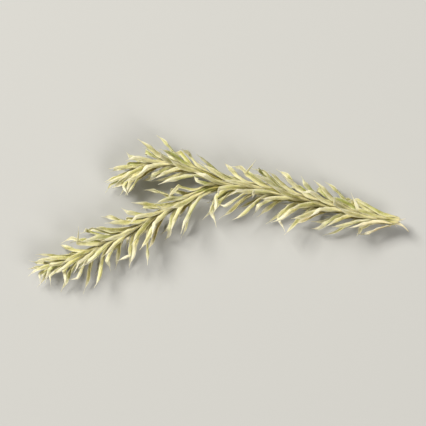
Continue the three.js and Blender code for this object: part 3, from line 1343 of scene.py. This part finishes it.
@dataclass
class Leaves:
    """Every leaf of the sprig, placed by the rule that its solids follow, as one piece for each solid.

    rounds is how many times each leaf in its turn may give way to the others.
    """

    stems: Sequence[StemLine]
    growth: Growth = Growth()
    finish: LeafFinish = LeafFinish()
    rounds: int = 3
    grown: dict[Node, list[Leaf]] = field(init=False)
    rooms: dict[Node, list[Array]] = field(init=False)
    open_rooms: dict[Node, list[Array]] = field(init=False)

    def __post_init__(self) -> None:
        """Places the leaves, one after another along each stem."""
        main, *branches = self.stems
        step = self.growth.stem_step
        stubs = [branch.room(0.0, STUB_LENGTH, step) for branch in branches]
        self.rooms = {Node.MAIN: [main.room(0.0, main.length, step), *stubs]}
        for branch in branches:
            self.rooms[branch.shape.node] = [branch.room(STUB_LENGTH + GAP, branch.length, step)]
        self.grown = {node: [] for node in Node}
        self.open_rooms = {node: [] for node in Node}
        for stem in self.stems:
            for leaf in self.planned(stem):
                self.place(leaf)
        self.ease()

    def planned(self, stem: StemLine) -> list[Leaf]:
        """Lists a stem's leaves in their order on the spiral.

        Args:
            stem: The stem.

        Returns:
            Its leaves, not yet grown.
        """
        growth, is_branch = self.growth, stem.shape.is_branch
        leaves, distance = [], stem.shape.first_leaf
        while distance < stem.length:
            full = min(1.0, (stem.length - distance) / growth.tip_reach) if is_branch else 1.0
            room = distance - STUB_LENGTH - GAP if is_branch and distance > STUB_LENGTH else growth.rib
            leaves.append(Leaf(stem, len(leaves), distance, full, min(growth.rib, room), growth))
            distance += growth.step * between(growth.tip_step, 1.0, full)
        return leaves

    def place(self, leaf: Leaf) -> None:
        """Keeps a leaf at its first attempt that stands clear, and leaves out one that has no room.

        Args:
            leaf: The leaf, not yet grown.
        """
        home = leaf.node
        if home is None:
            return
        others = np.vstack([room for node in Node if node is not home for room in self.rooms[node]])
        own = np.vstack([np.zeros((0, 4)), *self.open_rooms[home]])
        for attempt in ATTEMPTS:
            leaf.grow(attempt)
            outer = leaf.room[self.growth.shared_points :]
            apart = self.is_clear(leaf.room, others, self.growth.room_apart)
            if apart and self.is_clear(outer, own, 0.0):
                self.rooms[home].append(leaf.room)
                self.open_rooms[home].append(outer)
                self.grown[home].append(leaf)
                return

    def ease(self) -> None:
        """Lets each blade that passes through others give way to them."""
        leaves = [leaf for grown in self.grown.values() for leaf in grown]
        shells = [leaf.shell() for leaf in leaves]
        for _ in range(self.rounds):
            for k, leaf in enumerate(leaves):
                shells[k] = self.give_way(leaf, shells[k], shells[:k] + shells[k + 1 :])

    @staticmethod
    def give_way(leaf: Leaf, shell: Shell, others: Sequence[Shell]) -> Shell:
        """Eases a leaf by the first easing that brings its blade clear of the others, or the best one.

        Args:
            leaf: The leaf.
            shell: Its blade's shell so far.
            others: The shells of the other blades.

        Returns:
            The shell of the eased blade.
        """
        fewest, kept = shell.crossings(others), leaf.easing
        for easing in EASINGS:
            if fewest == 0:
                break
            leaf.easing = easing
            trial = leaf.shell()
            count = trial.crossings(others)
            if count < fewest:
                fewest, kept, shell = count, easing, trial
        leaf.easing = kept
        return shell

    @staticmethod
    def is_clear(room: Array, others: Array, apart: float) -> bool:
        """Tells whether every point of a room is clear of every point of the others."""
        gaps = np.linalg.norm(room[:, None, :3] - others[None, :, :3], axis=2)
        return bool(np.all(gaps > room[:, None, 3] + others[None, :, 3] + apart))

    def build(self) -> list[bpy.types.Object]:
        """Makes one piece of each solid's leaves.

        Returns:
            The pieces.
        """
        material = self.finish.material()
        pieces = []
        for node, leaves in self.grown.items():
            skin = Skin(node.value.replace("leafy", "leaves_of"))
            for leaf in leaves:
                leaf.add_to(skin)
            pieces.append(skin.piece(material, [node]))
        return pieces


@dataclass
class Stems:
    """The furrowed skins: one from the cut to the long branch's tip, and one for the short branch.

    skin_share is how much of the solids' radius the bare stem has, without the leaf ribs on it.
    fork_reach is how far from the fork a skin stops following one stem and starts to follow the next.
    The short branch's skin starts inside the main stem, fork_reach before the fork, with root_share of
    its radius, and leaves it root_reach before the fork. phases are where the furrows of the two skins
    start. drift is how far the furrows wander round a stem, and drift_waves, swelling_waves and
    lump_waves are how fast those forms come back along it.
    """

    lines: Sequence[StemLine]
    finish: StemFinish = StemFinish()
    skin_share: float = 0.8
    sides: int = 44
    ring_step: float = 0.14
    knot_step: float = 0.6
    furrows: int = 9
    furrow_depth: float = 0.07
    phases: Range = (0.4, 1.9)
    drift: Range = (1.0, 0.6)
    drift_waves: Range = (0.45, 1.1)
    swelling: float = 0.05
    swelling_waves: float = 2.3
    lump: float = 0.04
    lump_waves: float = 5.1
    lumps: int = 3
    bud_length: float = 0.5
    bud_radius: float = 0.06
    fork_reach: float = 0.9
    root_reach: float = 0.3
    root_share: float = 0.7

    @property
    def angles(self) -> Array:
        """The angles of the sides round a stem."""
        return np.linspace(0.0, TAU, self.sides, endpoint=False)

    def route(self, line: StemLine, start: float, end: float) -> list[Knot]:
        """Returns points along a stem, each with the bare stem's radius there."""
        places = line.places(start, end, self.knot_step)
        return [(line.at(d)[0], line.radius(d) * self.skin_share) for d in places]

    def along(self, knots: list[Knot], starts: Array, phase: float) -> tuple[Array, dict[str, Array]]:
        """Lays out the rings of a skin that follows some points and closes to a bud.

        Args:
            knots: The points, each with its radius.
            starts: How far along the line each side begins.
            phase: Where its furrows start round it.

        Returns:
            Its rings, and the values that its finish reads.
        """
        way = unit(knots[-1][0] - knots[-2][0])
        points = np.array([*(point for point, _ in knots), knots[-1][0] + way * self.bud_length])
        radii = [*(radius for _, radius in knots), self.bud_radius]
        line = flowing(points)
        whole, knot_run = travelled(line)[-1], travelled(points)
        line = spaced(line, np.linspace(0.0, whole, int(whole / self.ring_step)))
        run = travelled(line)
        share = np.linspace(0.0, 1.0, len(line))[:, None]
        places = starts[None] + (run[-1] - starts[None]) * share
        radius = np.interp(places, knot_run * run[-1] / knot_run[-1], radii)
        ways = unit(np.gradient(line, axis=0))
        centres = np.stack([np.interp(places, run, line[:, axis]) for axis in range(3)], axis=-1)
        way = unit(np.stack([np.interp(places, run, ways[:, axis]) for axis in range(3)], axis=-1))
        side = unit(np.cross(UP, way))
        out, ridges = self.relief(places, radius, phase)
        rings = centres + around(side, np.cross(way, side), self.angles[None, :, None]) * out[..., None]
        # rise runs from 1 on a ridge to 0 in a furrow; the finish paints shade into the furrows by it
        return rings, {"along": places, "around": self.angles, "rise": ridges}

    def relief(self, places: Array, radius: Array, phase: float) -> tuple[Array, Array]:
        """Shapes furrows and swellings into a stem.

        Args:
            places: How far along the stem each point lies.
            radius: The plain radius there.
            phase: Where the furrows start round it.

        Returns:
            The shaped radius, and 1 on a ridge to 0 in a furrow.
        """
        slow, quick = self.drift_waves
        drift = self.drift[0] * np.sin(places * slow + phase)
        drift = drift + self.drift[1] * np.sin(places * quick + 2.0 * phase)
        ridges = 0.5 + 0.5 * np.cos(self.furrows * self.angles + drift)
        swell = self.swelling * np.sin(places * self.swelling_waves + phase)
        swell = swell + self.lump * np.sin(places * self.lump_waves + self.lumps * self.angles)
        return radius * (1.0 + swell - self.furrow_depth * (1.0 - ridges)), ridges

    def rim(self) -> Array:
        """Returns the points round the cut, where the first skin is open."""
        return self.first_skin()[0][0]

    def first_skin(self) -> tuple[Array, dict[str, Array]]:
        """Lays out the skin from the cut through the fork to the long branch's tip.

        Returns:
            Its rings, and the values that its finish reads.
        """
        main, long, _ = self.lines
        knots = self.route(main, 0.0, main.length - self.fork_reach)
        knots += self.route(long, self.fork_reach, long.length)
        starts = CUT.start(main.radius(0.0) * self.skin_share, self.angles)
        return self.along(knots, starts, self.phases[0])

    def second_skin(self) -> tuple[Array, dict[str, Array]]:
        """Lays out the skin from inside the fork to the short branch's tip.

        Returns:
            Its rings, and the values that its finish reads.
        """
        main, _, short = self.lines
        knots = self.route(main, main.length - self.fork_reach, main.length - self.root_reach)
        knots[0] = (knots[0][0], knots[0][1] * self.root_share)
        knots += self.route(short, self.fork_reach, short.length)
        return self.along(knots, np.zeros(self.sides), self.phases[1])

    def build(self) -> list[bpy.types.Object]:
        """Makes the two skins.

        Returns:
            The pieces.
        """
        material = self.finish.material()
        through, side_stem = Skin("stem_and_long_branch"), Skin("short_branch_stem")
        through.add_tube(*self.first_skin(), open_start=True)
        side_stem.add_tube(*self.second_skin())
        pieces = [through.piece(material, [Node.MAIN, Node.LONG])]
        pieces.append(side_stem.piece(material, [Node.SHORT]))
        return pieces


@dataclass
class CutEnd:
    """The cut face of the main stem, with its pith, and the strands and the strip torn out of it.

    hub is the share of the face's radius at its innermost ring, and rough_waves are how fast its
    roughness comes back round it and inwards. strand_place is how far out from the middle of the face
    a strand stands, as a share of the way to the rim. fibre_far is the place in the finish's rings that
    all fibres take, and fibre_pattern how far its pattern runs along and across one.

    A lean is how far a fibre leans by its tip, for each millimetre of its length. A strand draws its
    own from strand_aside and strand_up, and strand_out is how much of the way to the rim it adds. The
    strip's lean is to the side and up, and its place is along the stem, to the side and up.
    """

    stem: StemLine
    rim: Array
    finish: PithFinish = PithFinish()
    rings: int = 9
    hub: float = 0.04
    dish: float = 0.1
    roughness: float = 0.03
    rough_waves: Range = (2.1, 9.0)
    fibre_rings: int = 9
    fibre_sides: int = 6
    fibre_radius: float = 0.035
    fibre_taper: float = 0.75
    fibre_far: float = 0.15
    fibre_pattern: Range = (0.4, 0.15)
    root_depth: float = 0.15
    strands: int = 8
    strand_place: Range = (0.35, 0.92)
    strand_length: Range = (0.25, 0.9)
    strand_aside: Range = (-0.25, 0.25)
    strand_up: Range = (-0.28, 0.12)
    strand_out: float = 0.5
    strand_width: float = 1.6
    strand_shift: float = 0.7
    strip_place: Place = (0.1, 0.1, 0.34)
    strip_length: float = 1.5
    strip_lean: Range = (0.5, -0.15)
    strip_width: float = 4.2

    @property
    def middle(self) -> Array:
        """The middle of the cut."""
        return self.rim.mean(axis=0)

    def add_face(self, skin: Skin) -> None:
        """Adds the cut face, dished and a little rough.

        Args:
            skin: The mesh that it becomes part of.
        """
        _, along, side, up = self.stem.at(CUT.distance)
        share = np.linspace(1.0, self.hub, self.rings)[:, None]
        face = self.middle + (self.rim[None] - self.middle) * share[..., None]
        around_it, inwards = self.rough_waves
        rough = np.sin(np.arange(len(self.rim)) * around_it)[None] * np.sin(share * inwards)
        depth = self.dish * (1.0 - share**2) + self.roughness * rough
        face = (face + along * depth[..., None])[:, ::-1]
        flat = face - self.middle
        skin.add_tube(face, {"far": share, "east": flat @ side, "north": flat @ up}, open_start=True)

    def add_strand(self, skin: Skin, number: int) -> None:
        """Adds a torn strand.

        Args:
            skin: The mesh that it becomes part of.
            number: Which strand it is.
        """
        _, along, side, up = self.stem.at(CUT.distance)
        draw = self.stem.draw
        edge = self.rim[int(draw(number, Trait.STRAND_PLACE) * len(self.rim))] - self.middle
        start = self.middle + edge * between(*self.strand_place, draw(number, Trait.STRAND_DEPTH))
        start = start + along * self.root_depth
        length = float(between(*self.strand_length, draw(number, Trait.STRAND_LENGTH) ** 2))
        lean = side * between(*self.strand_aside, draw(number, Trait.STRAND_ASIDE))
        lean = lean + up * between(*self.strand_up, draw(number, Trait.STRAND_UP))
        lean = lean + edge * self.strand_out
        self.add_fibre(skin, start, length, lean, self.strand_width, number * self.strand_shift)

    def add_strip(self, skin: Skin) -> None:
        """Adds the strip of rind that tore off at the cut and hangs from its lower side.

        Args:
            skin: The mesh that it becomes part of.
        """
        _, along, side, up = self.stem.at(CUT.distance)
        start = self.middle + np.array(self.strip_place) @ np.array([along, side, up])
        lean = np.array(self.strip_lean) @ np.array([side, up])
        self.add_fibre(skin, start, self.strip_length, lean, self.strip_width, 0.0)

    def add_fibre(
        self, skin: Skin, start: Array, length: float, lean: Array, width: float, shift: float
    ) -> None:
        """Adds a flat, tapering fibre that points out of the cut.

        Args:
            skin: The mesh that it becomes part of.
            start: Where it is rooted.
            length: How long it is.
            lean: How far it leans aside by its tip, for each millimetre of its length.
            width: How many times wider than thick it is.
            shift: Its place in the finish's pattern.
        """
        along = self.stem.at(CUT.distance)[1]
        t = np.linspace(0.0, 1.0, self.fibre_rings)[:, None]
        line = start - along * (length + self.root_depth) * t + lean * length * t * t
        ways = unit(np.gradient(line, axis=0))
        flat = unit(np.cross(ways, UP))
        raised = np.cross(flat, ways)
        angles = np.linspace(0.0, TAU, self.fibre_sides, endpoint=False)[None, :, None]
        radius = (self.fibre_radius * (1.0 - self.fibre_taper * t))[..., None]
        rings = line[:, None] + radius * around(flat[:, None] * width, -raised[:, None], angles)
        lengthways, crossways = self.fibre_pattern
        east, north = t * lengthways, shift + crossways * np.cos(angles[..., 0])
        skin.add_tube(rings, {"far": np.full((1, 1), self.fibre_far), "east": east, "north": north})

    def build(self) -> list[bpy.types.Object]:
        """Makes the face, the strip and the strands as one piece.

        Returns:
            The piece.
        """
        skin = Skin("cut_end")
        self.add_face(skin)
        self.add_strip(skin)
        for number in range(1, self.strands + 1):
            self.add_strand(skin, number)
        return [skin.piece(self.finish.material(), [Node.MAIN])]


@dataclass(frozen=True)
class Lamp:
    """A soft square light that faces the sprig. Its place and its side are in metres."""

    name: str
    place: Place
    size: float
    watts: float
    colour: str


@dataclass
class Studio:
    """The floor, the soft lights and the camera, which looks straight down. Lengths are in metres."""

    finish: FloorFinish = FloorFinish()
    lamps: tuple[Lamp, ...] = (
        Lamp("key_light", (-0.30, 0.30, 0.42), 0.22, 4.9, "FFFBF2"),
        Lamp("fill_light", (0.30, -0.30, 0.40), 0.30, 2.0, "FFFAF0"),
    )
    room_colour: str = "F6F5F1"
    room_light: float = 0.12
    floor_size: float = 3.0
    view_width: float = 0.0436
    height: float = 0.26
    sensor: float = 36.0
    clip: Range = (0.01, 10.0)

    def lay_floor(self) -> None:
        """Lays the floor under the sprig."""
        half = self.floor_size / 2.0
        ends = [(-half, -half, 0.0), (half, -half, 0.0), (half, half, 0.0), (-half, half, 0.0)]
        mesh = bpy.data.meshes.new("floor")
        mesh.from_pydata(ends, [], [(0, 1, 2, 3)])
        mesh.materials.append(self.finish.material())
        made = bpy.data.objects.new("floor", mesh)
        bpy.context.scene.collection.objects.link(made)

    def hang(self, lamp: Lamp) -> None:
        """Adds a light.

        Args:
            lamp: Its sizes and colour.
        """
        light = bpy.data.lights.new(lamp.name, "AREA")
        light.size, light.energy, light.color = lamp.size, lamp.watts, srgb(lamp.colour)[:3]
        made = bpy.data.objects.new(lamp.name, light)
        made.location = lamp.place
        made.rotation_euler = (-made.location).to_track_quat("-Z", "Y").to_euler()
        bpy.context.scene.collection.objects.link(made)

    def light_room(self) -> None:
        """Sets the even light that comes from all round."""
        world = bpy.data.worlds.new("room")
        world.use_nodes = True
        background = world.node_tree.nodes["Background"]
        background.inputs["Color"].default_value = srgb(self.room_colour)
        background.inputs["Strength"].default_value = self.room_light
        bpy.context.scene.world = world

    def set_camera(self) -> None:
        """Sets the camera over the middle of the sprig."""
        lens = bpy.data.cameras.new("camera")
        lens.sensor_width = self.sensor
        lens.lens = self.sensor * self.height / self.view_width
        lens.clip_start, lens.clip_end = self.clip
        camera = bpy.data.objects.new("camera", lens)
        camera.location = (0.0, 0.0, self.height)
        bpy.context.scene.collection.objects.link(camera)
        bpy.context.scene.camera = camera

    def build(self) -> None:
        """Sets up the floor, the lights and the camera."""
        self.lay_floor()
        for lamp in self.lamps:
            self.hang(lamp)
        self.light_room()
        self.set_camera()
        bpy.context.scene.view_settings.view_transform = "Standard"


def main() -> None:
    """Builds the sprig and its studio."""
    logging.basicConfig(level=logging.INFO, format="%(name)s: %(message)s")
    lines = [StemLine(shape) for shape in STEMS]
    leaves = Leaves(lines)
    stems = Stems(lines)
    cut_end = CutEnd(lines[0], stems.rim())
    for piece in [*leaves.build(), *stems.build(), *cut_end.build()]:
        log.info("%s: %d faces", piece.name, len(piece.data.polygons))
    for node, grown in leaves.grown.items():
        log.info("%s: %d leaves", node.value, len(grown))
    Studio().build()
    bpy.context.view_layer.update()
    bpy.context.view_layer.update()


if __name__ == "__main__":
    main()
